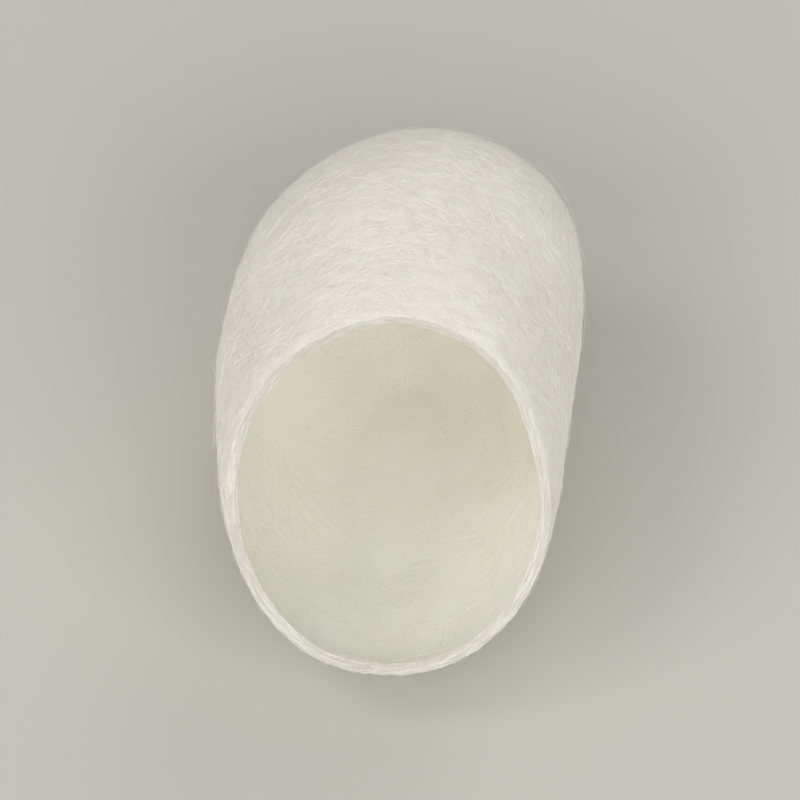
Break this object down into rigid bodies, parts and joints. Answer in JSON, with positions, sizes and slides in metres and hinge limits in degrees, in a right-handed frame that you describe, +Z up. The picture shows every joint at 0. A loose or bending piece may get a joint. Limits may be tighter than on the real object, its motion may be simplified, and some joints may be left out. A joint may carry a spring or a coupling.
{
  "type": "silk cocoon",
  "caption": "Thin egg-shaped shell of spun silk, cut open on a slant at one end, lying on its side on a small flat spot.",
  "frame": {"origin": "on the surface that the cocoon rests on, under the middle of its box", "axes": "+Y along the cocoon from the cut mouth to the closed end, +Z up, +X to the right seen from the mouth"},
  "size_m": [0.0208, 0.0314, 0.0203],
  "materials": {
    "silk": "matt, finely wrinkled off-white spun silk"
  },
  "bodies": {
    "root": {"cocoon": "silk"}
  },
  "joints": []
}
